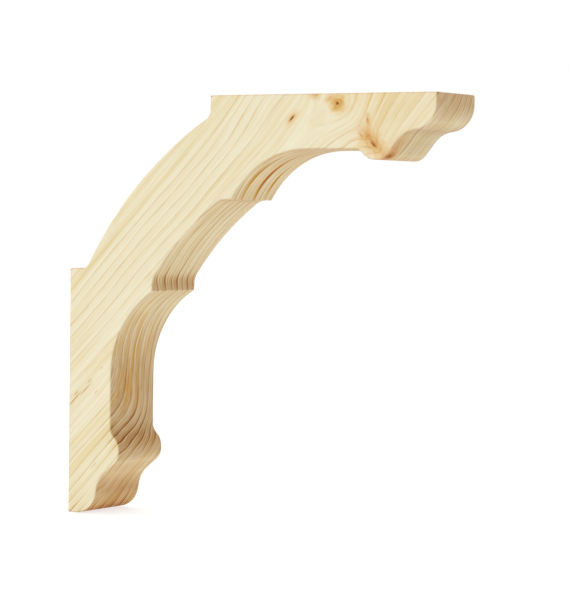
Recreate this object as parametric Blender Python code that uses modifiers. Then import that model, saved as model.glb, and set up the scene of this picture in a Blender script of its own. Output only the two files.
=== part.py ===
"""Wooden corbel bracket for a shelf, sawn and moulded from one board of pine.

Run it with: blender --background --python part.py

Metres, +Z up. +X runs out from the wall, the board's thickness lies along Y, and the origin is
the middle of the face that bears on the wall. The bracket has two limbs of the same pattern: an
arm under the shelf and a leg down the wall. Each limb is drawn as (along, depth) points, along
measured from the corner where wall and shelf would meet, and depth measured into the wood from
the face that bears on the shelf or the wall.
"""
import math

import bmesh
import bpy
from mathutils import Matrix, Vector

# The board and the two bearing faces
SIDE_LENGTH = 0.195            # reach of the arm from the wall, and of the leg from the shelf
THICKNESS = 0.035              # of the board
SHELF_BEARING_LENGTH = 0.1168  # the flat that carries the shelf
WALL_BEARING_LENGTH = 0.1150   # the flat that lies on the wall
ARRIS_WIDTH = 0.0006           # the sanded edge

# The long back curve, which bows out towards the corner
NOTCH_DEPTH = 0.0093    # from a bearing face down to the back curve
NOTCH_FILLET = 0.0075
BACK_RISE = 0.0067      # height of the bow over its chord

# The moulded end of each limb: nose, cove, slope, toe and hip
NOSE_DEPTH = 0.0150
NOSE_RADIUS = 0.0119
COVE_RUN = 0.0161       # back from the limb's end
COVE_DROP = 0.0018      # below the nose
COVE_RADIUS = 0.0135
SLOPE_RUN = 0.0101
SLOPE_DROP = 0.0124
TOE_RUN = 0.0079        # width of the toe's flat, between its corners
TOE_RADIUS = 0.0072
HEEL_RADIUS = 0.0084    # where the toe turns up to the web
HEEL_RUN = 0.0045
HIP_RADIUS = 0.0072

# The scallops inside: one in each limb, with a cusp and a ledge, and one across the middle
ARM_WEB = 0.0244        # depth of the arm where it is straight
LEG_WEB = 0.0242        # depth of the leg where it is straight
WEB_RUN = 0.0264        # length of that straight stretch
SCALLOP_RISE = 0.0064   # height of the scallop's bow over its chord
CUSP_REACH = 0.0897     # from the corner to the cusp
CUSP_DEPTH = 0.0472
LEDGE = 0.0056          # from the cusp back to the middle scallop
LEDGE_FILLET = 0.0110
MIDDLE_RISE = 0.0025    # height of the middle scallop's bow over its chord

# How finely the round stretches are cut
FACET_TURN = math.radians(6.0)
BOW_STEP = 0.0045       # no shorter than the reach of a fillet that ends on a bow
FILLET_SHARE = 0.98     # of an edge, the most that the fillets at its two ends may use
SMOOTH_ANGLE = math.radians(32.0)
MERGE_DISTANCE = 0.00001
FLAT_COSINE = 0.99      # a face that leans less than this faces straight out of the board's side

# Pale planed pine
PINE_COLOR = (0.80, 0.66, 0.42, 1.0)
PINE_ROUGHNESS = 0.55


def clear_scene():
    for old in list(bpy.data.objects):
        bpy.data.objects.remove(old, do_unlink=True)


def arc(centre, start, end, steps):
    """Points round a centre from start to end, both of them included."""
    spoke = start - centre
    last = end - centre
    turn = math.atan2(spoke.cross(last), spoke.dot(last))
    return [centre + Matrix.Rotation(turn * step / steps, 2) @ spoke for step in range(steps + 1)]


def bow(start, end, rise):
    """The corners of a round stretch between two points, its height over the chord being rise."""
    first = Vector(start[:2])
    chord = Vector(end[:2]) - first
    half = chord.length / 2
    side = Vector((-chord.y, chord.x)).normalized()
    radius = (half ** 2 + rise ** 2) / (2 * rise)
    centre = first + chord / 2 + side * (rise - radius)
    steps = max(2, round(chord.length / BOW_STEP))
    between = arc(centre, first, first + chord, steps)[1:-1]
    return [(point.x, point.y, 0.0) for point in between]


def limb(bearing, web):
    """One limb's corners as (along, depth, radius), from its notch round the end to its ledge."""
    cove = SIDE_LENGTH - COVE_RUN
    toe = cove - SLOPE_RUN
    heel = toe - TOE_RUN
    hip = heel - HEEL_RUN
    cove_depth = NOSE_DEPTH + COVE_DROP
    toe_depth = cove_depth + SLOPE_DROP
    web_end = (hip - WEB_RUN, web, 0.0)
    cusp = (CUSP_REACH, CUSP_DEPTH, 0.0)
    return [
        (SIDE_LENGTH - bearing, NOTCH_DEPTH, NOTCH_FILLET),
        (SIDE_LENGTH - bearing, 0.0, 0.0),
        (SIDE_LENGTH, 0.0, 0.0),
        (SIDE_LENGTH, NOSE_DEPTH, NOSE_RADIUS),
        (cove, cove_depth, COVE_RADIUS),
        (toe, toe_depth, TOE_RADIUS),
        (heel, toe_depth, HEEL_RADIUS),
        (hip, web, HIP_RADIUS),
        web_end,
        *bow(web_end, cusp, SCALLOP_RISE),
        cusp,
        (CUSP_REACH - LEDGE, CUSP_DEPTH, LEDGE_FILLET),
    ]


def rounded(corners):
    """The closed outline as points, with each corner turned on its own radius.

    Two fillets that don't both fit on the edge between them are cut in proportion.
    """
    order = range(len(corners))
    places = [Vector(corner[:2]) for corner in corners]
    edges = [places[(index + 1) % len(corners)] - places[index] for index in order]
    half_angles = [(-edges[index - 1]).angle(edges[index]) / 2 for index in order]
    wanted = [corners[index][2] / math.tan(half_angles[index]) for index in order]
    shares = []
    for index in order:
        taken = wanted[index] + wanted[(index + 1) % len(corners)]
        room = FILLET_SHARE * edges[index].length
        shares.append(room / taken if taken > room else 1.0)
    points = []
    for index in order:
        here = places[index]
        reach = wanted[index] * min(shares[index - 1], shares[index])
        if not reach:
            points.append(here)
            continue
        back = -edges[index - 1].normalized()
        on = edges[index].normalized()
        centre = here + (back + on).normalized() * (reach / math.cos(half_angles[index]))
        steps = max(2, math.ceil((math.pi - 2 * half_angles[index]) / FACET_TURN))
        points += arc(centre, here + back * reach, here + on * reach, steps)
    return points


def bracket_outline():
    """The bracket's outline seen from its side, as (x, z) points."""
    arm = limb(SHELF_BEARING_LENGTH, ARM_WEB)
    leg = [(depth, along, radius) for along, depth, radius in reversed(limb(WALL_BEARING_LENGTH, LEG_WEB))]
    corners = [
        *arm,
        *bow(arm[-1], leg[0], MIDDLE_RISE),
        *leg,
        *bow(leg[-1], arm[0], -BACK_RISE),
    ]
    shelf_height = SIDE_LENGTH - WALL_BEARING_LENGTH / 2
    return [(point.x, shelf_height - point.y) for point in rounded(corners)]


def board_mesh(name, outline):
    """A closed board of the outline's shape, lying flat, with one face on each side."""
    curve = bpy.data.curves.new(name + "_outline", "CURVE")
    curve.dimensions = "2D"
    curve.fill_mode = "BOTH"
    curve.extrude = THICKNESS / 2
    spline = curve.splines.new("POLY")
    spline.points.add(len(outline) - 1)
    for point, (x, z) in zip(spline.points, outline):
        point.co = (x, z, 0.0, 1.0)
    spline.use_cyclic_u = True
    sheet = bpy.data.objects.new(name + "_outline", curve)
    bpy.context.scene.collection.objects.link(sheet)
    bpy.context.view_layer.update()
    evaluated = sheet.evaluated_get(bpy.context.evaluated_depsgraph_get())
    mesh = bpy.data.meshes.new_from_object(evaluated)
    bpy.data.objects.remove(sheet)
    solid = bmesh.new()
    solid.from_mesh(mesh)
    bmesh.ops.remove_doubles(solid, verts=solid.verts, dist=MERGE_DISTANCE)
    caps = [face for face in solid.faces if abs(face.normal.z) > FLAT_COSINE]
    bmesh.ops.dissolve_faces(solid, faces=caps)
    bmesh.ops.recalc_face_normals(solid, faces=solid.faces)
    solid.to_mesh(mesh)
    solid.free()
    mesh.name = name
    return mesh


def planed_pine():
    material = bpy.data.materials.new("planed pine")
    material.use_nodes = True
    shader = material.node_tree.nodes["Principled BSDF"]
    shader.inputs["Base Color"].default_value = PINE_COLOR
    shader.inputs["Roughness"].default_value = PINE_ROUGHNESS
    shader.inputs["Metallic"].default_value = 0.0
    return material


def corbel_bracket(collection):
    mesh = board_mesh("corbel_bracket", bracket_outline())
    mesh.materials.append(planed_pine())
    mesh.shade_smooth()
    mesh.set_sharp_from_angle(angle=SMOOTH_ANGLE)
    bracket = bpy.data.objects.new("corbel_bracket", mesh)
    bracket.rotation_euler = (math.pi / 2, 0.0, 0.0)
    collection.objects.link(bracket)
    arris = bracket.modifiers.new("sanded arris", "BEVEL")
    arris.width = ARRIS_WIDTH
    arris.segments = 2
    arris.limit_method = "ANGLE"
    arris.angle_limit = SMOOTH_ANGLE
    return bracket


clear_scene()
parts = bpy.data.collections.new("wooden corbel bracket")
bpy.context.scene.collection.children.link(parts)
corbel_bracket(parts)
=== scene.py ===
# %% [markdown]
# # A wooden corbel bracket
# The real object is a shelf bracket sawn from one board of pine. Its two limbs have the same
# moulded end, and a curve joins them at the back. There is one solid piece, so the work is in the
# wood: where the rings run, how the knots bend them, and how a cut across the fibres looks.

import math

import bpy
from mathutils import Matrix, Vector, geometry, kdtree


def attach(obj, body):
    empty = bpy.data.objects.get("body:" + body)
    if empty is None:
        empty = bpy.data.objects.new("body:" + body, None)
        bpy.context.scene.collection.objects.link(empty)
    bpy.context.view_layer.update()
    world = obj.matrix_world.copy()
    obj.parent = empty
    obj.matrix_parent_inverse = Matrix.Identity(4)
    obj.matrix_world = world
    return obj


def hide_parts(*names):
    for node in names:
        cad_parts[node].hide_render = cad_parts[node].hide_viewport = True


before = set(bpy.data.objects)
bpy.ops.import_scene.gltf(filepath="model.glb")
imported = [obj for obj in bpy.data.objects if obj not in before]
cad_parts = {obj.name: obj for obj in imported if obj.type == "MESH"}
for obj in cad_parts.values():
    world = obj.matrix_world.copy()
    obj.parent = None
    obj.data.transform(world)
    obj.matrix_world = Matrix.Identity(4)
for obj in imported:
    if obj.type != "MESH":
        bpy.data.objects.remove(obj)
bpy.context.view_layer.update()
print("nodes in the frame:", sorted(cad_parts))

# %% [markdown]
# ## The board's outline
# A sawyer marks the bracket out on a board and follows the line. Here the line is a list of
# corners, each with its own fillet radius. Both limbs come from one function, so a change to the
# pattern changes both. Spline curves could draw this too, but a moulding is made of arcs and
# flats, and those stay true to their sizes only when they are worked out as arcs and flats.

# %% Sizes of the board in metres
SIDE_LENGTH = 0.195            # reach of the arm from the wall, and of the leg from the shelf
THICKNESS = 0.035
SHELF_BEARING_LENGTH = 0.1168  # the flat that carries the shelf
WALL_BEARING_LENGTH = 0.1150   # the flat that lies on the wall

# the long back curve, which bows out towards the corner
NOTCH_DEPTH = 0.0093           # from a bearing face down to the back curve
NOTCH_FILLET = 0.0075
BACK_RISE = 0.0067             # height of the bow over its chord

# the moulded end of each limb
NOSE_DEPTH = 0.0150
NOSE_RADIUS = 0.0119
COVE_RUN = 0.0161              # back from the limb's end
COVE_DROP = 0.0018             # below the nose
COVE_RADIUS = 0.0135
SLOPE_RUN = 0.0101
SLOPE_DROP = 0.0124
TOE_RUN = 0.0079               # width of the toe's flat, between its corners
TOE_RADIUS = 0.0072
HEEL_RADIUS = 0.0084           # where the toe turns up to the web
HEEL_RUN = 0.0045
HIP_RADIUS = 0.0072

# the scallops inside, one in each limb and one across the middle
ARM_WEB = 0.0244               # depth of the arm where it is straight
LEG_WEB = 0.0242
WEB_RUN = 0.0264               # length of that straight stretch
SCALLOP_RISE = 0.0064          # height of the scallop's bow over its chord
CUSP_REACH = 0.0897            # from the corner to the cusp
CUSP_DEPTH = 0.0472
LEDGE = 0.0056                 # from the cusp back to the middle scallop
LEDGE_FILLET = 0.0110
MIDDLE_RISE = 0.0025

CORNER_RADIUS = 0.0005         # a sawn corner after a few strokes of sandpaper
FACET_TURN = math.radians(3.0)
BOW_STEP = 0.0045
FILLET_SHARE = 0.98            # of an edge, the most that the fillets at its two ends may use
SHELF_HEIGHT = SIDE_LENGTH - WALL_BEARING_LENGTH / 2
print("board:", SIDE_LENGTH, "by", THICKNESS, "m, top at", SHELF_HEIGHT)


# %% Arcs and the two limbs
def arc(centre, start, end, steps):
    """Points round a centre from start to end, both of them included."""
    spoke = start - centre
    last = end - centre
    turn = math.atan2(spoke.cross(last), spoke.dot(last))
    return [centre + Matrix.Rotation(turn * step / steps, 2) @ spoke for step in range(steps + 1)]


def bow(start, end, rise):
    """The corners of a round stretch between two points, its height over the chord being rise."""
    first = Vector(start[:2])
    chord = Vector(end[:2]) - first
    half = chord.length / 2
    side = Vector((-chord.y, chord.x)).normalized()
    radius = (half ** 2 + rise ** 2) / (2 * rise)
    centre = first + chord / 2 + side * (rise - radius)
    steps = max(2, round(chord.length / BOW_STEP))
    between = arc(centre, first, first + chord, steps)[1:-1]
    return [(point.x, point.y, radius) for point in between]


def limb(bearing, web):
    """One limb's corners as (along, depth, radius), from its notch round the end to its ledge."""
    cove = SIDE_LENGTH - COVE_RUN
    toe = cove - SLOPE_RUN
    heel = toe - TOE_RUN
    hip = heel - HEEL_RUN
    cove_depth = NOSE_DEPTH + COVE_DROP
    toe_depth = cove_depth + SLOPE_DROP
    web_end = (hip - WEB_RUN, web, 0.0)
    cusp = (CUSP_REACH, CUSP_DEPTH, CORNER_RADIUS)
    return [
        (SIDE_LENGTH - bearing, NOTCH_DEPTH, NOTCH_FILLET),
        (SIDE_LENGTH - bearing, 0.0, CORNER_RADIUS),
        (SIDE_LENGTH, 0.0, CORNER_RADIUS),
        (SIDE_LENGTH, NOSE_DEPTH, NOSE_RADIUS),
        (cove, cove_depth, COVE_RADIUS),
        (toe, toe_depth, TOE_RADIUS),
        (heel, toe_depth, HEEL_RADIUS),
        (hip, web, HIP_RADIUS),
        web_end,
        *bow(web_end, cusp, SCALLOP_RISE),
        cusp,
        (CUSP_REACH - LEDGE, CUSP_DEPTH, LEDGE_FILLET),
    ]


arm = limb(SHELF_BEARING_LENGTH, ARM_WEB)
leg = [(depth, along, radius) for along, depth, radius in reversed(limb(WALL_BEARING_LENGTH, LEG_WEB))]
middle_bow = bow(arm[-1], leg[0], MIDDLE_RISE)
back_bow = bow(leg[-1], arm[0], -BACK_RISE)
corners = [*arm, *middle_bow, *leg, *back_bow]
print("corners marked out:", len(corners))


# %% Turn each corner on its radius
def rounded(corners):
    """The closed outline as points. Fillets that don't both fit on an edge are cut in proportion."""
    order = range(len(corners))
    places = [Vector(corner[:2]) for corner in corners]
    edges = [places[(index + 1) % len(corners)] - places[index] for index in order]
    half_angles = [(-edges[index - 1]).angle(edges[index]) / 2 for index in order]
    wanted = [abs(corners[index][2]) / math.tan(half_angles[index]) for index in order]
    shares = []
    for index in order:
        taken = wanted[index] + wanted[(index + 1) % len(corners)]
        room = FILLET_SHARE * edges[index].length
        shares.append(room / taken if taken > room else 1.0)
    points = []
    for index in order:
        here = places[index]
        reach = wanted[index] * min(shares[index - 1], shares[index])
        if not reach:
            points.append(here)
            continue
        back = -edges[index - 1].normalized()
        on = edges[index].normalized()
        centre = here + (back + on).normalized() * (reach / math.cos(half_angles[index]))
        steps = max(2, math.ceil((math.pi - 2 * half_angles[index]) / FACET_TURN))
        points += arc(centre, here + back * reach, here + on * reach, steps)
    return points


drawn = [Vector((point.x, SHELF_HEIGHT - point.y)) for point in rounded(corners)]
print("points where the outline bends:", len(drawn))

# %% More points on its long stretches
SURFACE_STEP = 0.0010          # spacing of the mesh, fine enough to carry raised grain


def divided(points, step):
    """The same closed line with more points on its long stretches."""
    result = []
    for index, start in enumerate(points):
        end = points[(index + 1) % len(points)]
        pieces = max(1, math.ceil((end - start).length / step))
        result += [start.lerp(end, piece / pieces) for piece in range(pieces)]
    return result


outline = divided(drawn, SURFACE_STEP)
print("points on the outline:", len(outline))

# %% [markdown]
# ## A flat template
# Wood shows its figure on every face, so each face needs points inside it as well as round it. One
# flat sheet does for both sides of the board: a lattice of points is laid over the outline, and a
# constrained Delaunay triangulation joins what falls inside. Filling the outline with one polygon
# would be simpler, but it would leave the sides with no points for the raised grain to move.

# %% Triangulate the template
CLEARANCE = 0.8                # of a step, that the lattice keeps from the outline
SAME_PLACE = 1e-7              # m, under which two points count as one
INSIDE_ONLY = 1                # the kind of result that keeps no triangle outside the outline


def template_mesh(name, outline, step):
    """A flat sheet inside the outline, in X and Z. Its first points are the outline, in order."""
    near = kdtree.KDTree(len(outline))
    for index, point in enumerate(outline):
        near.insert((point.x, point.y, 0.0), index)
    near.balance()
    low = Vector((min(p.x for p in outline), min(p.y for p in outline)))
    high = Vector((max(p.x for p in outline), max(p.y for p in outline)))
    row_height = step * math.sqrt(3) / 2
    places = list(outline)
    for row in range(math.ceil((high.y - low.y) / row_height)):
        for column in range(math.ceil((high.x - low.x) / step)):
            x = low.x + (column + (row % 2) / 2) * step
            z = low.y + row * row_height
            if near.find((x, z, 0.0))[2] > CLEARANCE * step:
                places.append(Vector((x, z)))
    ring = list(range(len(outline)))
    cut = geometry.delaunay_2d_cdt(places, [], [ring], INSIDE_ONLY, SAME_PLACE)
    given = [sources[0] for sources in cut[3]]
    triangles = [[given[corner] for corner in face] for face in cut[2]]
    used = sorted({corner for face in triangles for corner in face})
    renumbered = {old: new for new, old in enumerate(used)}
    mesh = bpy.data.meshes.new(name)
    mesh.from_pydata(
        [(places[old].x, 0.0, places[old].y) for old in used],
        [],
        [[renumbered[corner] for corner in face] for face in triangles],
    )
    return mesh


template = template_mesh("bracket_template", outline, SURFACE_STEP)
print("template triangles:", len(template.polygons), "points:", len(template.vertices))


# %% Which way is outwards, at each point of the outline
def store_outward(mesh, outline):
    """Keeps, at each outline point, the step that moves both of its edges out by one unit."""
    outward = mesh.attributes.new("outward", "FLOAT_VECTOR", "POINT")
    for index, here in enumerate(outline):
        before = (here - outline[index - 1]).normalized()
        after = (outline[(index + 1) % len(outline)] - here).normalized()
        step = Vector((-before.y - after.y, before.x + after.x)) / (1 + before.dot(after))
        outward.data[index].vector = (step.x, 0.0, step.y)


store_outward(template, outline)
print("kept on the template:", [item.name for item in template.attributes if item.name == "outward"])

# %% [markdown]
# ## How the wood grew
# A pine trunk adds a ring a year round its pith, and each ring ends in a thin dark line of
# latewood. The board was sawn with its length along the trunk and the bracket was marked out on
# the skew, so the rings run at 45 degrees to both limbs. The pith passed just in front of the
# board. Distance from that line gives the ring at any point, on every face alike, which a flat
# picture of grain can't do. A branch pushes the rings outwards, and where it is cut it is a knot.
#
# The same rule colours the wood in the material and raises the grain in the mesh, so one set of
# functions writes it into either kind of node tree.


# %% A helper that adds any node
def add(tree, kind, links=None, **settings):
    """Adds a node, sets its properties, and fills its inputs with nodes, sockets or plain values."""
    node = tree.nodes.new(kind)
    for name, value in settings.items():
        setattr(node, name, value)
    for name, value in (links or {}).items():
        if isinstance(value, bpy.types.Node):
            value = value.outputs[0]
        if isinstance(value, bpy.types.NodeSocket):
            tree.links.new(value, node.inputs[name])
        else:
            node.inputs[name].default_value = value
    return node


MATH = "ShaderNodeMath"
VECTOR = "ShaderNodeVectorMath"
NOISE = "ShaderNodeTexNoise"
RANGE = "ShaderNodeMapRange"
print("kinds of node that both trees share:", ", ".join((MATH, VECTOR, NOISE, RANGE)))

# %% Where the pith ran, in millimetres
MM = 0.001
GRAIN_SKEW = math.radians(45)  # between the grain and either limb
PITH_ACROSS = 103.0            # from the corner where wall and shelf meet, along the diagonal
PITH_BEFORE_FACE = 16.0        # in front of the board's front face
PITH_TILT = math.radians(-1.1)
FIRST_RING = 6.6               # width of a ring at the pith
RING_CLOSING = 0.013           # for each mm out from there, how much closer the rings lie
CORE_RINGS = 1.36              # rings in the soft core, which the count leaves out
DEPTH_STRETCH = 0.80           # the trunk was oval, and wider through the board than across it


def on_bracket(along, across, depth):
    """A place in the world from millimetres along the grain, across it, and into the front face."""
    x = (across + along) * MM / math.sqrt(2)
    drop = (across - along) * MM / math.sqrt(2)     # below the shelf
    return Vector((x, depth * MM - THICKNESS / 2, SHELF_HEIGHT - drop))


pith = on_bracket(0.0, PITH_ACROSS, -PITH_BEFORE_FACE)
grain_turn = (
    Matrix.Rotation(PITH_TILT, 3, "Y")
    @ Matrix.Rotation(GRAIN_SKEW, 3, "Z")
    @ Matrix.Rotation(math.radians(90), 3, "X")
)
grain_axis = grain_turn.transposed() @ Vector((1, 0, 0))


def in_grain(along, across, depth):
    """The same place in the frame of the pith, where X runs up the trunk."""
    return grain_turn @ (on_bracket(along, across, depth) - pith) / MM


print("pith passes", [round(value, 4) for value in pith], "along", [round(v, 3) for v in grain_axis])


# %% A soft spot in the wood
def fading(tree, squared):
    """1 where the squared distance is 0, 0.37 where it is 1, and hardly anything from 4 on."""
    falling = add(tree, MATH, {0: squared, 1: -1.0}, operation="MULTIPLY")
    return add(tree, MATH, {0: falling}, operation="EXPONENT")


def spot(tree, place, centre, size):
    """A soft spot that fades over a distance of size, which may differ along each axis."""
    away = add(tree, VECTOR, {0: place, 1: centre}, operation="SUBTRACT")
    scaled = add(tree, VECTOR, {0: away, 1: size}, operation="DIVIDE")
    squared = add(tree, VECTOR, {0: scaled, 1: scaled}, operation="DOT_PRODUCT")
    return fading(tree, squared.outputs["Value"])


print("a soft spot keeps", round(math.exp(-1), 2), "of its strength at its size")

# %% What bends the rings
SWAY_LENGTH = 70.0             # mm up the trunk over which its rings wander
SWAY_WIDTH = 22.0              # mm across it
SWAY = 2.2                     # mm that they wander to either side, at most
EVERYWHERE = 1000.0            # mm, a size that takes in the whole board

# branches: a place on the axis, a place further on, the heart's size, and mm of push on the rings
BRANCHES = {
    "pin": (in_grain(99.7, 106.0, 0.0), in_grain(98.7, 104.0, -12.0), 0.82, 2.6),
    "spike": (in_grain(100.1, 131.7, 0.0), in_grain(100.5, 139.6, 4.0), 0.85, 4.2),
    "edge": (in_grain(95.3, 93.9, 0.0), in_grain(94.8, 95.1, -12.0), 0.75, 1.6),
}
BRANCH_GRIP = 4.5              # mm from the axis of a branch of size 1 that it bends them
# wider swellings of the trunk: centre and size along, across and through the board, and push in mm
SWELLINGS = (
    (in_grain(102.0, 112.0, 0.0), (13.0, 30.0, EVERYWHERE), 4.0),
    (in_grain(78.0, 72.0, 0.0), (22.0, 13.0, EVERYWHERE), 4.5),
    (in_grain(128.0, 160.0, 0.0), (26.0, 18.0, EVERYWHERE), 7.0),
    (in_grain(-89.0, 121.0, 21.0), (14.0, 9.0, 13.0), 3.4),
)
print("branches:", ", ".join(BRANCHES), "and", len(SWELLINGS), "swellings")


# %% The ring at any place
def branch_distance(tree, place, on_axis, further):
    """Millimetres from the line through two places."""
    direction = (further - on_axis).normalized()
    away = add(tree, VECTOR, {0: place, 1: on_axis}, operation="SUBTRACT")
    turned = add(tree, VECTOR, {0: away, 1: direction}, operation="CROSS_PRODUCT")
    return add(tree, VECTOR, {0: turned}, operation="LENGTH").outputs["Value"]


def growth_at(tree, place):
    """Radius from the pith in mm, after the sway, the swellings and the branches have moved it, and
    the ring number there.
    """
    oval = add(tree, VECTOR, {0: place, 1: (0.0, 1.0, DEPTH_STRETCH)}, operation="MULTIPLY")
    radius = add(tree, VECTOR, {0: oval}, operation="LENGTH").outputs["Value"]
    stretched = add(tree, VECTOR, {
        0: place, 1: (1 / SWAY_LENGTH, 1 / SWAY_WIDTH, 1 / SWAY_WIDTH)}, operation="MULTIPLY")
    sway = add(tree, NOISE, {"Vector": stretched, "Scale": 1.0, "Detail": 2.0})
    centred = add(tree, MATH, {0: sway, 1: 0.5}, operation="SUBTRACT")
    radius = add(tree, MATH, {0: centred, 1: 2 * SWAY, 2: radius}, operation="MULTIPLY_ADD")
    for centre, size, push in SWELLINGS:
        near = spot(tree, place, centre, size)
        radius = add(tree, MATH, {0: near, 1: -push, 2: radius}, operation="MULTIPLY_ADD")
    for on_axis, further, heart, push in BRANCHES.values():
        distance = branch_distance(tree, place, on_axis, further)
        grips = add(tree, MATH, {0: distance, 1: BRANCH_GRIP * heart}, operation="DIVIDE")
        near = fading(tree, add(tree, MATH, {0: grips, 1: grips}, operation="MULTIPLY"))
        radius = add(tree, MATH, {0: near, 1: -push, 2: radius}, operation="MULTIPLY_ADD")
    closing = add(tree, MATH, {0: radius, 1: RING_CLOSING, 2: 1.0}, operation="MULTIPLY_ADD")
    grown = add(tree, MATH, {0: radius, 1: closing}, operation="MULTIPLY")
    rings = add(
        tree, MATH, {0: grown, 1: 1 / FIRST_RING, 2: -CORE_RINGS}, operation="MULTIPLY_ADD")
    return radius, rings


face_radius = PITH_BEFORE_FACE * DEPTH_STRETCH
face_rings = face_radius * (1 + RING_CLOSING * face_radius) / FIRST_RING - CORE_RINGS
print("rings between the pith and the front face:", round(face_rings, 1))

# %% Latewood, the dark end of each ring
RING_NUDGE = 0.02              # years by which a line starts early


def ring_part(tree, rings):
    """How far through its year's growth a place is, from 0 to 1."""
    nudged = add(tree, MATH, {0: rings, 1: RING_NUDGE}, operation="ADD")
    return add(tree, MATH, {0: nudged}, operation="FRACT")


# darkness by the part of the year's growth, with a false ring before the middle
LATEWOOD_LEVELS = (
    (0.0, 0.0), (0.35, 0.0), (0.44, 0.20), (0.49, 0.02), (0.70, 0.14),
    (0.87, 0.5), (0.95, 1.0), (0.975, 0.9), (1.0, 0.0),
)


def latewood_at(tree, rings):
    """How dark the latewood is, from 0 to 1. It builds up slowly and stops at the winter."""
    ramp = add(tree, "ShaderNodeValToRGB", {0: ring_part(tree, rings)})
    stops = ramp.color_ramp.elements
    stops.remove(stops[1])
    for index, (position, level) in enumerate(LATEWOOD_LEVELS):
        stop = stops[0] if index == 0 else stops.new(position)
        stop.color = (level, level, level, 1.0)
    return ramp


print("steps from one winter to the next:", len(LATEWOOD_LEVELS))

# %% [markdown]
# ## Planed pine
# The finish is bare softwood straight from the planer and a sheet of fine sandpaper: pale cream
# earlywood, thin tan latewood lines, and no varnish, so it has only a dull sheen. A cut across the
# fibres soaks up light, so the moulded edge is darker and its lines are stronger than on the faces.
# A picture of pine wrapped round the solid would break at every arris. Built from the rings, the
# lines run over the arris from face to face as they do in a real board.
#
# Each cell below lays one more stain over the wood, and a few lay painted shade and painted bounce
# light the same way. A stain lets a share of the light through, as resin does, so two thin coats
# of it are the same as one thick one.


# %% Colours from hex codes
def colour(code):
    """A linear colour from an sRGB hex code."""
    channels = [int(code[place:place + 2], 16) / 255 for place in (1, 3, 5)]
    linear = [c / 12.92 if c <= 0.04045 else ((c + 0.055) / 1.055) ** 2.4 for c in channels]
    return (*linear, 1.0)


# the wood's own colour, and what each stain leaves of the light that falls on it
EARLYWOOD = "#E5DEC3"
SOFT_BAND = "#F2E2BC"
LATEWOOD = "#D6B88C"
CUT_LATEWOOD = "#B4926A"       # where the surface cuts across the fibres
WARM_BOUNCE_EDGE = "#FFF9F0"          # painted warm bounce light: the moulded edge is made a little browner than the planed sides
# painted shade under the arm's end, a grey that darkens the moulding there
ARM_END_SHADE_GREY = "#ECEBEC"
# painted shade at the leg's foot, which faces down to the floor
FOOT_SHADE_BROWN = "#DDB07C"
# saw burn, and on the leg's nose painted shade
SAW_BURN_AND_SHADE_BROWN = "#C99654"
END_GRAIN = "#E7D3C4"
RESIN = "#E9C06E"
VEIN = "#FAD896"               # thin resin that has spread between the lines
PITCH = "#BF9669"
PITCH_HALO = "#F6DAB4"
KNOT_TINT_AND_BOUNCE_LIGHT = "#F5D6B8"          # a tint beside the knots; on the moulding at the leg's end it is painted warm bounce light
print("cream reads as", [round(channel, 3) for channel in colour(EARLYWOOD)])

# %% Start the pine and find each place on the grain
pine = bpy.data.materials.new("planed pine")
pine.use_nodes = True
tree = pine.node_tree
shader = tree.nodes["Principled BSDF"]
shader.inputs["Roughness"].default_value = 0.62
shader.inputs["IOR"].default_value = 1.45
shader.inputs["Specular IOR Level"].default_value = 0.18    # open fibres swallow most of the sheen

here = add(tree, "ShaderNodeTexCoord")
place = add(tree, "ShaderNodeMapping", {
    "Vector": here.outputs["Object"],
    "Location": pith,
    "Rotation": grain_turn.transposed().to_euler(),
    "Scale": (MM, MM, MM),
}, vector_type="TEXTURE")
radius, rings = growth_at(tree, place)
print("nodes that find a place on the grain:", len(tree.nodes))

# %% Where the surface cuts across the fibres
CUT_SHARE = 0.6                # of the way to the darker latewood, on an edge sawn along the fibres

# from 0 on a planed side to 1 on a squared end
lean = add(tree, VECTOR, {0: here.outputs["Normal"], 1: grain_axis}, operation="DOT_PRODUCT")
end_grain = add(tree, MATH, {0: lean.outputs["Value"]}, operation="ABSOLUTE")
# 1 on the sawn and moulded edge, 0 on the two planed sides
normal_parts = add(tree, "ShaderNodeSeparateXYZ", {0: here.outputs["Normal"]})
planed = add(tree, MATH, {0: normal_parts.outputs[1]}, operation="ABSOLUTE")
sawn = add(tree, RANGE, {
    "Value": planed, "From Min": 0.2, "From Max": 0.8, "To Min": 1.0, "To Max": 0.0})

cut = add(tree, MATH, {0: end_grain, 1: sawn}, operation="ADD")
cut = add(tree, MATH, {0: cut, 1: CUT_SHARE}, operation="MULTIPLY", use_clamp=True)
late_stain = add(tree, "ShaderNodeMix", {
    0: cut, 6: colour(LATEWOOD), 7: colour(CUT_LATEWOOD)}, data_type="RGBA").outputs[2]
print("latewood goes from", LATEWOOD, "on a side to", CUT_LATEWOOD, "on the moulded edge")

# %% Noise drawn out along the fibres
ARC_RADIUS = 20.0              # mm from the pith, at which a turn round it is measured as a length


def round_the_pith(tree, place, radius):
    """A place as (up the trunk, through the rings, round them), which keeps to its ring."""
    split = add(tree, "ShaderNodeSeparateXYZ", {0: place})
    angle = add(tree, MATH, {0: split.outputs[1], 1: split.outputs[2]}, operation="ARCTAN2")
    arc_length = add(tree, MATH, {0: angle, 1: ARC_RADIUS}, operation="MULTIPLY")
    return add(tree, "ShaderNodeCombineXYZ", {0: split.outputs[0], 1: radius, 2: arc_length})


def figure(tree, place, lengths, detail, roughness=0.5):
    """Noise with a length in mm up the trunk, another through the rings and another round them."""
    scale = [1 / length for length in lengths]
    stretched = add(tree, VECTOR, {0: place, 1: scale}, operation="MULTIPLY")
    return add(tree, NOISE, {
        "Vector": stretched, "Scale": 1.0, "Detail": detail, "Roughness": roughness})


grown = round_the_pith(tree, place, radius)
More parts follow.
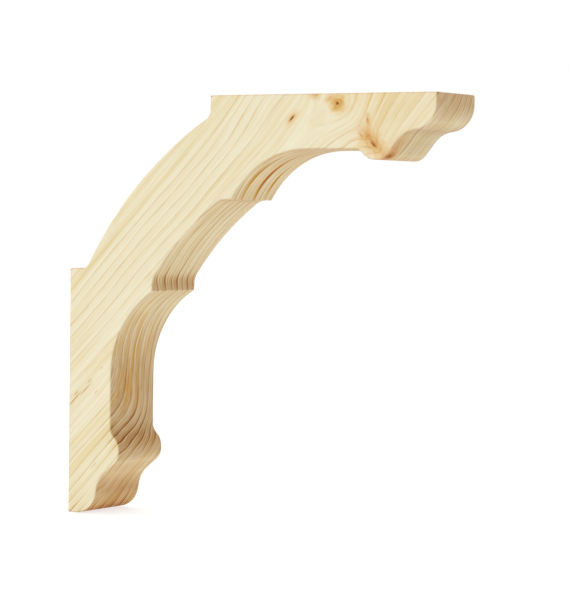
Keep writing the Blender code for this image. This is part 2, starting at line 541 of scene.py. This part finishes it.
# a fibre is 0.03 mm wide and too fine to show, so this draws bundles of them 0.7 mm wide
fibres = figure(tree, grown, (34.0, 0.7, 3.5), 4.0, roughness=0.62)
bands = figure(tree, grown, (80.0, 3.0, 14.0), 3.0)
veins = figure(tree, grown, (13.0, 1.5, 9.0), 2.0)
pools = figure(tree, grown, (36.0, 1.3, 10.0), 2.0)
print("four kinds of figure, and", len(tree.nodes), "nodes")


# %% Soft bands and fibres
def stained_or_shaded(tree, wood, amount, stain):
    """The wood's colour under a stain, or under painted shade or bounce light laid the same way.
    Twice the amount takes the same share of the light again.
    """
    passed = add(tree, "ShaderNodeGamma", {"Color": stain, "Gamma": amount})
    mix = add(
        tree, "ShaderNodeMix", {0: 1.0, 6: wood, 7: passed}, data_type="RGBA", blend_type="MULTIPLY")
    return mix.outputs[2]


in_band = add(tree, RANGE, {
    "Value": bands, "From Min": 0.48, "From Max": 0.72, "To Min": 0.0, "To Max": 0.48})
wood = stained_or_shaded(tree, colour(EARLYWOOD), in_band, colour(SOFT_BAND))

dark_fibre = add(tree, RANGE, {
    "Value": fibres, "From Min": 0.56, "From Max": 0.26, "To Min": 0.0, "To Max": 1.0})
fibre_depth = add(tree, RANGE, {"Value": sawn, "To Min": 0.13, "To Max": 0.30})
in_fibre = add(tree, MATH, {0: dark_fibre, 1: fibre_depth}, operation="MULTIPLY")
wood = stained_or_shaded(tree, wood, in_fibre, late_stain)
print("nodes up to the fibres:", len(tree.nodes))

# %% Which years ended in a dark line, from the pith outwards
YEAR_STRENGTHS = (
    0.3, 0.5, 0.75, 0.6, 1.0, 0.65, 0.85, 0.45,
    0.35, 0.45, 0.3, 0.4, 0.35, 0.45, 0.35, 0.4,
)


def year_strength(tree, rings):
    """The strength of the line that ends the present ring."""
    nudged = add(tree, MATH, {0: rings, 1: RING_NUDGE}, operation="ADD")
    share = add(tree, MATH, {0: nudged, 1: len(YEAR_STRENGTHS)}, operation="DIVIDE")
    ramp = add(tree, "ShaderNodeValToRGB", {0: share})
    ramp.color_ramp.interpolation = "CONSTANT"
    stops = ramp.color_ramp.elements
    stops.remove(stops[1])
    for year, level in enumerate(YEAR_STRENGTHS):
        stop = stops[0] if year == 0 else stops.new(year / len(YEAR_STRENGTHS))
        stop.color = (level, level, level, 1.0)
    return ramp


strength = year_strength(tree, rings)
print("years in the board:", len(YEAR_STRENGTHS))

# %% Latewood lines, with finer ones between them
fade = add(tree, RANGE, {
    "Value": veins, "From Min": 0.35, "From Max": 0.62, "To Min": 0.45, "To Max": 1.25})
showing = add(tree, RANGE, {"Value": sawn, "To Min": 0.41, "To Max": 0.80})
line = latewood_at(tree, rings)
for share in (strength, fade, showing):
    line = add(tree, MATH, {0: line, 1: share}, operation="MULTIPLY")

# the finer lines within each year are clearest where they are cut
LINES_A_YEAR = 3.0
finer_rings = add(tree, MATH, {0: rings, 1: LINES_A_YEAR}, operation="MULTIPLY")
finer_depth = add(tree, RANGE, {"Value": sawn, "To Min": 0.13, "To Max": 0.26})
line = add(
    tree, MATH, {0: latewood_at(tree, finer_rings), 1: finer_depth, 2: line}, operation="MULTIPLY_ADD")
print("nodes up to the lines:", len(tree.nodes))


# %% Plain wood, where the lines hardly show
def patches_at(tree, place, patches):
    """The levels of all the soft patches that reach a place, added up."""
    total = 0.0
    for centre, size, level in patches:
        total = add(
            tree, MATH, {0: spot(tree, place, centre, size), 1: level, 2: total},
            operation="MULTIPLY_ADD")
    return total


# centre and size along, across and into the board, and the share of the lines that is lost
PLAIN_WOOD = (
    (in_grain(86.0, 99.0, 0.0), (11.0, 10.0, 14.0), 0.9),       # between the knots
    (in_grain(102.0, 136.0, 0.0), (7.0, 7.5, 8.0), 0.8),        # inside the spike knot
    (in_grain(124.0, 119.0, 0.0), (24.0, 24.0, 14.0), 0.45),    # the end of the arm
    (in_grain(-60.0, 101.0, 20.0), (20.0, 9.0, 20.0), 0.35),    # the leg's scallop
    (in_grain(-121.0, 142.0, 8.0), (11.0, 7.0, 14.0), 0.7),     # the leg's cove
)
plain = add(tree, MATH, {0: 1.0, 1: patches_at(tree, place, PLAIN_WOOD)}, operation="SUBTRACT")
line = add(tree, MATH, {0: line, 1: plain}, operation="MULTIPLY")
wood = stained_or_shaded(tree, wood, line, late_stain)
print("plain places:", len(PLAIN_WOOD))

# %% The moulded edge and the squared ends
# painted light on the moulding: warm bounce light at the leg's end, painted brown shade at its
# foot, and painted grey shade under the arm's end
PAINTED_LIGHT_EDGES = (
    # painted warm bounce light at the leg's end
    (in_grain(-119.0, 140.0, 17.0), (20.0, 11.0, 30.0), 0.5, KNOT_TINT_AND_BOUNCE_LIGHT),
    # painted shade at the leg's foot
    (in_grain(-131.0, 145.0, 17.0), (5.5, 5.0, 30.0), 0.8, FOOT_SHADE_BROWN),
    # painted shade under the arm's end
    (in_grain(114.0, 141.0, 20.0), (15.0, 6.0, 30.0), 0.9, ARM_END_SHADE_GREY),
)


def stained_or_shaded_in(tree, wood, patches, share, stain):
    """The wood with a stain in soft patches of it, each weakened by the share that takes it up.
    Some of the patches lay painted shade or painted bounce light instead of a stain.
    """
    amount = add(tree, MATH, {0: patches_at(tree, place, patches), 1: share}, operation="MULTIPLY")
    return stained_or_shaded(tree, wood, amount, colour(stain))


# painted warm bounce light over the whole moulded edge
wood = stained_or_shaded(tree, wood, sawn, colour(WARM_BOUNCE_EDGE))
wood = stained_or_shaded(tree, wood, end_grain, colour(END_GRAIN))
# lays the painted bounce light and painted shade on the moulded edge
for *patch, tone in PAINTED_LIGHT_EDGES:
    wood = stained_or_shaded_in(tree, wood, [patch], sawn, tone)
print("toned places:", len(PAINTED_LIGHT_EDGES), "nodes up to them:", len(tree.nodes))

# %% [markdown]
# ## Resin, scorch marks and knots
# Pine bleeds resin. It soaks the latewood of a strong year to amber, and spreads beside it in
# veins. The saw leaves its own mark: where it turns a tight corner it slows down and scorches the
# dark lines brown. The same brown, laid heavily on the leg's nose, is painted shade where the foot
# faces the floor. A knot is a branch cut through, darkest at its heart, with a ring of bark or
# resin round it and a halo that fades into the trunk. Each of these has its place on the board, so
# each is a short list of places in millimetres.

# %% Scorched lines, and painted shade at the leg's foot
# centre and size along, across and into the board, and strength
SAW_BURNS_AND_FOOT_SHADE = (
    (in_grain(-92.0, 126.0, 17.0), (5.0, 7.0, 25.0), 1.2),      # the leg's hip
    (in_grain(-94.0, 132.5, 17.0), (4.0, 4.0, 25.0), 2.6),      # the leg's toe
    (in_grain(-26.5, 93.8, 18.0), (3.2, 4.0, 25.0), 1.7),       # the leg's cusp
    (in_grain(-130.0, 142.5, 22.0), (8.0, 8.0, 22.0), 7.0),     # the leg's nose, where it is painted shade of the foot that faces the floor
    (in_grain(136.0, 140.0, 26.0), (5.0, 6.0, 14.0), 0.6),      # the arm's nose
)
# saw burns, and painted shade on the lines of the leg's nose
wood = stained_or_shaded_in(tree, wood, SAW_BURNS_AND_FOOT_SHADE, line, SAW_BURN_AND_SHADE_BROWN)
print("scorched places:", len(SAW_BURNS_AND_FOOT_SHADE))

# %% Resin in the lines, in the latewood of the strongest years, and in veins
STRONG_YEAR = 0.7
# centre and size along, across and into the board, and strength
AMBER_LINES = (
    (in_grain(115.0, 113.0, 0.0), (12.0, 11.0, 9.0), 2.2),      # between spike knot and arm's end
)
# the arm's scallop, beside its cusp
SOAKED_LINES = (
    (in_grain(44.0, 96.0, 8.0), (9.0, 20.0, 4.0), 1.1),
    (in_grain(43.0, 96.0, 18.0), (9.0, 20.0, 4.0), 2.3),
    (in_grain(49.0, 96.0, 17.0), (12.0, 20.0, 4.0), 0.6),
    (in_grain(41.0, 96.0, 27.5), (6.0, 20.0, 4.0), 1.5),
)
VEINED = (
    (in_grain(-60.0, 101.0, 17.0), (18.0, 14.0, 13.0), 0.85),   # the leg's scallop
    (in_grain(-82.0, 115.0, 15.0), (9.0, 9.0, 12.0), 0.75),     # its foot
)
strong_year = add(tree, MATH, {0: strength, 1: STRONG_YEAR}, operation="GREATER_THAN")
late_part = add(tree, RANGE, {
    "Value": ring_part(tree, rings), "From Min": 0.36, "From Max": 0.72})
in_line = add(tree, MATH, {0: strong_year, 1: late_part}, operation="MULTIPLY")
in_vein = add(tree, RANGE, {"Value": pools, "From Min": 0.49, "From Max": 0.58})
wood = stained_or_shaded_in(tree, wood, AMBER_LINES, line, RESIN)
for patches, share, stain in ((SOAKED_LINES, in_line, RESIN), (VEINED, in_vein, VEIN)):
    on_edge = add(tree, MATH, {0: share, 1: sawn}, operation="MULTIPLY")
    wood = stained_or_shaded_in(tree, wood, patches, on_edge, stain)
print("amber lines:", len(AMBER_LINES), "soaked:", len(SOAKED_LINES), "veined places:", len(VEINED))

# %% Knots, coloured from the heart outwards
KNOT_REACH = 7.0               # mm to the end of the colours, for a heart of size 1
# by distance in mm from the axis of a branch whose heart is of size 1
TIGHT_KNOT = (
    (0.0, "#A16B2C"), (0.65, "#AE7836"), (1.0, "#DCB06E"), (1.5, "#F0CE96"), (2.0, "#E0B475"),
    (2.5, "#F2D2A2"), (3.2, "#F6DDB8"), (4.0, "#FAE9CE"), (5.0, "#FDF2E1"), (6.5, "#FFFFFF"),
)
OPEN_KNOT = (
    (0.0, "#E2B98C"), (0.8, "#EFCDA2"), (1.4, "#F6DBB8"), (2.2, "#F8E2C4"), (2.6, "#E7C08C"),
    (2.9, "#F8E0C2"), (4.0, "#FAEAD6"), (5.0, "#FDF3E7"), (6.5, "#FFFFFF"),
)
KNOT_STAINS = {"pin": TIGHT_KNOT, "spike": OPEN_KNOT, "edge": OPEN_KNOT}


def knot_stain(tree, distance, heart, stains):
    """What a knot leaves of the light at a distance from its axis."""
    share = add(tree, MATH, {0: distance, 1: KNOT_REACH * heart}, operation="DIVIDE")
    ramp = add(tree, "ShaderNodeValToRGB", {0: share})
    stops = ramp.color_ramp.elements
    stops.remove(stops[1])
    for index, (reach, code) in enumerate(stains):
        stop = stops[0] if index == 0 else stops.new(reach / KNOT_REACH)
        stop.color = colour(code)
    return ramp


# no knot is quite round
rough = add(tree, NOISE, {"Vector": place, "Scale": 0.45, "Detail": 2.0})
uneven = add(tree, RANGE, {
    "Value": rough, "From Min": 0.3, "From Max": 0.7, "To Min": 0.75, "To Max": 1.25})
for name, (on_axis, further, heart, _) in BRANCHES.items():
    distance = branch_distance(tree, place, on_axis, further)
    distance = add(tree, MATH, {0: distance, 1: uneven}, operation="MULTIPLY")
    wood = stained_or_shaded(tree, wood, 1.0, knot_stain(tree, distance, heart, KNOT_STAINS[name]))
print("knots:", ", ".join(BRANCHES))

# %% Warm stains
# centre and size along, across and into the board, and strength
GLOWS = (
    (in_grain(102.0, 126.0, 0.0), (4.5, 4.5, 4.0), 0.45),       # over the spike knot
    (in_grain(105.0, 139.3, 4.0), (7.0, 4.0, 4.5), 0.9),        # the arm's toe
    (in_grain(98.0, 101.2, 0.0), (2.2, 1.1, 3.0), 1.1),         # over the pin knot
    (in_grain(124.0, 120.0, 0.0), (26.0, 24.0, 9.0), 0.20),     # the arm's end
    (in_grain(106.9, 120.6, 0.0), (1.1, 1.1, 3.0), 0.6),        # the spike knot's tip, in three
    (in_grain(105.6, 121.9, 0.0), (1.1, 1.1, 3.0), 0.8),
    (in_grain(104.4, 123.2, 0.0), (1.1, 1.1, 3.0), 0.6),
)
wood = stained_or_shaded_in(tree, wood, GLOWS, uneven, KNOT_TINT_AND_BOUNCE_LIGHT)
print("warm places:", len(GLOWS))

# %% Short dark streaks of pitch
STREAK_DEPTH = 3.0             # mm into the board
HALO_LENGTH = 2.4              # of the pitch pocket's half length
HALO_WIDTH = 4.5               # of its half width
# centre, half length, half width and strength
STREAKS = (
    (in_grain(78.6, 93.8, 0.0), 1.4, 0.34, 2.2),        # the pitch pocket beside the pin knot
    (in_grain(-98.2, 102.5, 0.0), 4.4, 0.28, 0.8),      # the leg's front
    (in_grain(-90.0, 103.5, 0.0), 3.4, 0.26, 0.7),
    (in_grain(-95.0, 101.2, 0.0), 1.5, 0.24, 0.55),
    (in_grain(-85.4, 102.2, 0.0), 1.7, 0.24, 0.55),
    (in_grain(-76.0, 102.6, 0.0), 0.8, 0.36, 0.25),
    (in_grain(-86.0, 108.4, 0.0), 1.2, 0.24, 0.35),
    (in_grain(-111.0, 132.2, 0.0), 2.4, 0.24, 0.35),
    (in_grain(105.6, 121.9, 0.0), 0.4, 0.4, 0.5),       # the spike knot
    (in_grain(104.9, 122.7, 0.0), 0.4, 0.4, 0.5),
    (in_grain(98.4, 124.3, 0.0), 0.4, 1.1, 0.45),
    (in_grain(100.6, 130.8, 0.0), 0.9, 4.6, 0.3),
    (in_grain(99.9, 131.9, 0.0), 0.34, 1.4, 1.15),
    (in_grain(100.5, 139.6, 4.0), 1.4, 1.4, 0.8),
)
streaks = [(centre, (length, width, STREAK_DEPTH), level) for centre, length, width, level in STREAKS]
wood = stained_or_shaded_in(tree, wood, streaks, uneven, PITCH)

pocket, length, width, _ = STREAKS[0]
halo = spot(tree, place, pocket, (HALO_LENGTH * length, HALO_WIDTH * width, STREAK_DEPTH))
wood = stained_or_shaded(tree, wood, halo, colour(PITCH_HALO))
tree.links.new(wood, shader.inputs["Base Color"])
print("streaks:", len(STREAKS), "nodes in the pine:", len(tree.nodes))

# %% [markdown]
# ## The bracket
# Its shape follows a rule: one outline, swept through the board's thickness, with an arris that
# sandpaper has just broken. Geometry Nodes wrap a grid round the template's outline for the sawn
# edge, and close it with the template itself on both sides. Then the earlywood sinks a little
# between the rings, as it does under sandpaper, because it is softer than the latewood.

# %% Rows through the board, closer together on the arris
ARRIS_STEPS = 3                # rows round each arris
EDGE_ROWS = 2 * (ARRIS_STEPS + round((THICKNESS / 2) / SURFACE_STEP))
FLAT_ROWS = EDGE_ROWS / 2 - ARRIS_STEPS        # on each side of the middle


def through_board(tree, row, half, arris):
    """A row's depth from the middle of the board, and how far the arris draws it in there."""
    rows_out = add(tree, MATH, {0: row}, operation="ABSOLUTE")
    flat_half = add(tree, MATH, {0: half, 1: arris}, operation="SUBTRACT")
    on_flat = add(tree, RANGE, {
        "Value": rows_out, "From Min": 0.0, "From Max": FLAT_ROWS, "To Min": 0.0, "To Max": flat_half})
    turn = add(tree, RANGE, {
        "Value": rows_out, "From Min": FLAT_ROWS, "From Max": EDGE_ROWS / 2,
        "To Min": 0.0, "To Max": math.pi / 2})
    sine = add(tree, MATH, {0: turn}, operation="SINE")
    cosine = add(tree, MATH, {0: turn}, operation="COSINE")
    depth = add(tree, MATH, {0: sine, 1: arris, 2: on_flat}, operation="MULTIPLY_ADD")
    side = add(tree, MATH, {0: row}, operation="SIGN")
    signed_depth = add(tree, MATH, {0: depth, 1: side}, operation="MULTIPLY")
    shrink = add(tree, MATH, {0: cosine, 1: 1.0}, operation="SUBTRACT")
    return signed_depth, add(tree, MATH, {0: shrink, 1: arris}, operation="MULTIPLY")


print("rows through the board:", EDGE_ROWS)

# %% The sawn edge, wrapped from a grid of one unit a column and one unit a row
COLUMN_SHIFT = 0.25            # keeps a whole column from being rounded down to the one before


def sawn_edge(tree, sheet, outline_count, half, arris):
    """The grid laid round the outline, a column at each point, and drawn in on the arrises."""
    position = add(tree, "GeometryNodeInputPosition")
    outward = add(tree, "GeometryNodeInputNamedAttribute", {"Name": "outward"}, data_type="FLOAT_VECTOR")
    grid = add(tree, "GeometryNodeMeshGrid", {
        "Size X": float(outline_count), "Size Y": float(EDGE_ROWS),
        "Vertices X": outline_count + 1, "Vertices Y": EDGE_ROWS + 1})
    cell = add(tree, "ShaderNodeSeparateXYZ", {0: position})
    column = add(tree, MATH, {0: cell, 1: outline_count / 2 + COLUMN_SHIFT}, operation="ADD")
    whole = add(tree, MATH, {0: column}, operation="FLOOR")
    index = add(tree, MATH, {0: whole, 1: float(outline_count)}, operation="MODULO")
    on_outline = add(tree, "GeometryNodeSampleIndex", {
        "Geometry": sheet, "Value": position, "Index": index}, data_type="FLOAT_VECTOR")
    out_there = add(tree, "GeometryNodeSampleIndex", {
        "Geometry": sheet, "Value": outward, "Index": index}, data_type="FLOAT_VECTOR")
    depth, inset = through_board(tree, cell.outputs[1], half, arris)
    drawn_in = add(tree, VECTOR, {0: out_there, "Scale": inset}, operation="SCALE")
    moved = add(tree, VECTOR, {0: on_outline, 1: drawn_in}, operation="ADD")
    sideways = add(tree, "ShaderNodeCombineXYZ", {1: depth})
    edge_place = add(tree, VECTOR, {0: moved, 1: sideways}, operation="ADD")
    return add(tree, "GeometryNodeSetPosition", {"Geometry": grid, "Position": edge_place})


print("squares on the sawn edge:", len(outline) * EDGE_ROWS)


# %% Both planed sides, drawn in by the arris
def planed_sides(tree, sheet, half, arris):
    """The template as the front and as the back, turned to face outwards."""
    outward = add(tree, "GeometryNodeInputNamedAttribute", {"Name": "outward"}, data_type="FLOAT_VECTOR")
    inwards = add(tree, MATH, {0: arris, 1: -1.0}, operation="MULTIPLY")
    drawn_in = add(tree, VECTOR, {0: outward, "Scale": inwards}, operation="SCALE")
    narrow = add(tree, "GeometryNodeSetPosition", {"Geometry": sheet, "Offset": drawn_in})
    to_front = add(tree, MATH, {0: half, 1: -1.0}, operation="MULTIPLY")
    front_step = add(tree, "ShaderNodeCombineXYZ", {1: to_front})
    back_step = add(tree, "ShaderNodeCombineXYZ", {1: half})
    turned = add(tree, "GeometryNodeFlipFaces", {0: narrow})
    return [
        add(tree, "GeometryNodeSetPosition", {"Geometry": narrow, "Offset": front_step}),
        add(tree, "GeometryNodeSetPosition", {"Geometry": turned, "Offset": back_step}),
    ]


print("triangles on the two sides:", 2 * len(template.polygons))

# %% The grain that sandpaper raises
RELIEF_MM = 0.025              # how far the earlywood sinks between the lines


def grain_raised(tree, board, relief):
    """The board with its surface sunk where there is no latewood."""
    position = add(tree, "GeometryNodeInputPosition")
    from_pith = add(tree, VECTOR, {0: position, 1: pith}, operation="SUBTRACT")
    turned = add(tree, "ShaderNodeVectorRotate", {
        "Vector": from_pith, "Rotation": grain_turn.to_euler()}, rotation_type="EULER_XYZ")
    place = add(tree, VECTOR, {0: turned, "Scale": 1 / MM}, operation="SCALE")
    latewood = latewood_at(tree, growth_at(tree, place)[1])
    below = add(tree, MATH, {0: latewood, 1: 1.0}, operation="SUBTRACT")
    sunk = add(tree, MATH, {0: below, 1: relief}, operation="MULTIPLY")
    normal = add(tree, "GeometryNodeInputNormal")
    step = add(tree, VECTOR, {0: normal, "Scale": sunk}, operation="SCALE")
    return add(tree, "GeometryNodeSetPosition", {"Geometry": board, "Offset": step})


print("the earlywood sinks", RELIEF_MM, "mm")

# %% The tree that saws the board
WELD_DISTANCE = 0.02 * MM      # joins the sides to the sawn edge along the arrises


def sawing_tree(outline_count, material):
    """The node tree that makes the bracket from its template."""
    tree = bpy.data.node_groups.new("saw the board", "GeometryNodeTree")
    sockets = tree.interface
    sockets.new_socket("Template", in_out="INPUT", socket_type="NodeSocketGeometry")
    for name in ("Thickness", "Arris", "Raised Grain"):
        sockets.new_socket(name, in_out="INPUT", socket_type="NodeSocketFloat")
    sockets.new_socket("Bracket", in_out="OUTPUT", socket_type="NodeSocketGeometry")
    sheet, thickness, arris, relief = add(tree, "NodeGroupInput").outputs[:4]

    half = add(tree, MATH, {0: thickness, 1: 0.5}, operation="MULTIPLY")
    front, back = planed_sides(tree, sheet, half, arris)
    edge = sawn_edge(tree, sheet, outline_count, half, arris)
    joined = add(tree, "GeometryNodeJoinGeometry")
    for part in (back, front, edge):
        tree.links.new(part.outputs[0], joined.inputs[0])
    closed = add(tree, "GeometryNodeMergeByDistance", {"Geometry": joined, "Distance": WELD_DISTANCE})

    worn = grain_raised(tree, closed, relief)
    plain = add(tree, "GeometryNodeRemoveAttribute", {"Geometry": worn, "Name": "outward"})
    smooth = add(tree, "GeometryNodeSetShadeSmooth", {"Geometry": plain})
    real = add(tree, "GeometryNodeRealizeInstances", {"Geometry": smooth})
    painted = add(tree, "GeometryNodeSetMaterial", {"Geometry": real, "Material": material})
    add(tree, "NodeGroupOutput", {0: painted})
    return tree


sawing_nodes = sawing_tree(len(outline), pine)
print("nodes that saw the board:", len(sawing_nodes.nodes))

# %% Saw the board and keep the result as a plain mesh
ARRIS_RADIUS = 0.0006          # the edge that sandpaper has broken


def set_inputs(modifier, values):
    """Sets a modifier's inputs from their names. Each is stored under its socket's identifier."""
    for item in modifier.node_group.interface.items_tree:
        if item.in_out == "INPUT" and item.name in values:
            modifier[item.identifier] = values[item.name]


source = bpy.data.objects.new("bracket_source", template)
bpy.context.scene.collection.objects.link(source)
sawing = source.modifiers.new("saw the board", "NODES")
sawing.node_group = sawing_nodes
set_inputs(sawing, {"Thickness": THICKNESS, "Arris": ARRIS_RADIUS, "Raised Grain": RELIEF_MM * MM})
bpy.context.view_layer.update()
evaluated = source.evaluated_get(bpy.context.evaluated_depsgraph_get())
bracket_mesh = bpy.data.meshes.new_from_object(evaluated)
source.modifiers.clear()
bpy.data.objects.remove(source)
bracket_mesh.name = "pine_bracket"
bracket = bpy.data.objects.new("pine_bracket", bracket_mesh)
bpy.context.scene.collection.objects.link(bracket)
print("bracket faces:", len(bracket_mesh.polygons), "points:", len(bracket_mesh.vertices))

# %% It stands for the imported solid
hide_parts("corbel_bracket")
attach(bracket, "root")
print("bracket measures", [round(size, 4) for size in bracket.dimensions])

# %% [markdown]
# ## Stage, lights and camera
# The bracket stands on white and is lit softly from all round, as a small product is in a light
# tent. A curved sweep of paper would do for that too, but a shadow would lie on it. A sheet of white
# acrylic that is lit from below leaves next to none. One lamp stands in front and one hangs above,
# so the moulded edge, which looks down and away from both, comes out darker than the planed side.

# %% Floor
STAGE_SIZE = 6.0               # m
FLOOR_GAP = 0.0002             # keeps the foot clear of the floor
FLOOR_LEVEL = SHELF_HEIGHT - SIDE_LENGTH - FLOOR_GAP

floor_mesh = bpy.data.meshes.new("floor")
reach = STAGE_SIZE / 2
signs = ((-1, -1), (1, -1), (1, 1), (-1, 1))
floor_mesh.from_pydata([(x * reach, y * reach, FLOOR_LEVEL) for x, y in signs], [], [(0, 1, 2, 3)])
floor = bpy.data.objects.new("floor", floor_mesh)
bpy.context.scene.collection.objects.link(floor)

# the sheet is dull on top, and its own light fills in what the bracket shades
acrylic = bpy.data.materials.new("backlit white acrylic")
acrylic.use_nodes = True
acrylic_shader = acrylic.node_tree.nodes["Principled BSDF"]
acrylic_shader.inputs["Base Color"].default_value = colour("#989898")
acrylic_shader.inputs["Roughness"].default_value = 0.9
acrylic_shader.inputs["Emission Color"].default_value = colour("#FFFFFF")
acrylic_shader.inputs["Emission Strength"].default_value = 0.70
floor_mesh.materials.append(acrylic)
print("floor at", round(FLOOR_LEVEL, 4), "m")

# %% The room round it
# the wall that the camera faces is lit white, and the rest of the room is a little darker
ROOM_LIGHT = 0.66
BACKDROP_LIGHT = 1.0
BACKDROP_SIDE = (-0.53, 0.85, 0.0)

world = bpy.data.worlds.new("studio")
bpy.context.scene.world = world
world.use_nodes = True
room = world.node_tree
looking = add(room, "ShaderNodeTexCoord")
facing = add(room, VECTOR, {
    0: looking.outputs["Generated"], 1: BACKDROP_SIDE}, operation="DOT_PRODUCT")
wall_light = add(room, RANGE, {
    "Value": facing.outputs["Value"], "From Min": 0.55, "From Max": 0.90,
    "To Min": ROOM_LIGHT, "To Max": BACKDROP_LIGHT}, interpolation_type="SMOOTHSTEP")
room.links.new(wall_light.outputs[0], room.nodes["Background"].inputs["Strength"])
room.nodes["Background"].inputs["Color"].default_value = (1.0, 1.0, 1.0, 1.0)
print("the room gives", ROOM_LIGHT, "and its bright wall", BACKDROP_LIGHT)

# %% Two soft lamps
# where each comes from, its spread in degrees and its power
LAMPS = {
    "key": (Vector((-0.30, -0.75, 0.75)), 80, 1.20),
    "top": (Vector((-0.25, 0.45, 1.0)), 60, 0.9),
}
for name, (comes_from, spread, power) in LAMPS.items():
    sun = bpy.data.lights.new(name, "SUN")
    sun.angle = math.radians(spread)
    sun.energy = power
    lamp = bpy.data.objects.new(name, sun)
    lamp.rotation_euler = comes_from.to_track_quat("Z", "Y").to_euler()
    bpy.context.scene.collection.objects.link(lamp)
bpy.context.scene.view_settings.view_transform = "Standard"
print("lamps:", ", ".join(LAMPS))

# %% The camera at the photograph's angle
CAMERA_AIM = Vector((0.1083, 0.0, 0.0452))
CAMERA_DISTANCE = 1.1386
CAMERA_TURN = math.radians(32.148)
CAMERA_RISE = math.radians(1.988)
CAMERA_ROLL = math.radians(0.743)
SENSOR_WIDTH = 36.0            # mm
PHOTO_HEIGHT = 600
FOCAL_PIXELS = 2510.2          # focal length in pixels of the photograph

camera_data = bpy.data.cameras.new("camera")
camera_data.sensor_width = SENSOR_WIDTH
camera_data.lens = FOCAL_PIXELS * SENSOR_WIDTH / PHOTO_HEIGHT
camera = bpy.data.objects.new("camera", camera_data)
camera.matrix_world = (
    Matrix.Translation(CAMERA_AIM)
    @ Matrix.Rotation(CAMERA_TURN, 4, "Z")
    @ Matrix.Rotation(math.pi / 2 - CAMERA_RISE, 4, "X")
    @ Matrix.Rotation(CAMERA_ROLL, 4, "Z")
    @ Matrix.Translation((0.0, 0.0, CAMERA_DISTANCE))
)
bpy.context.scene.collection.objects.link(camera)
bpy.context.scene.camera = camera
print("lens:", round(camera_data.lens, 1), "mm")
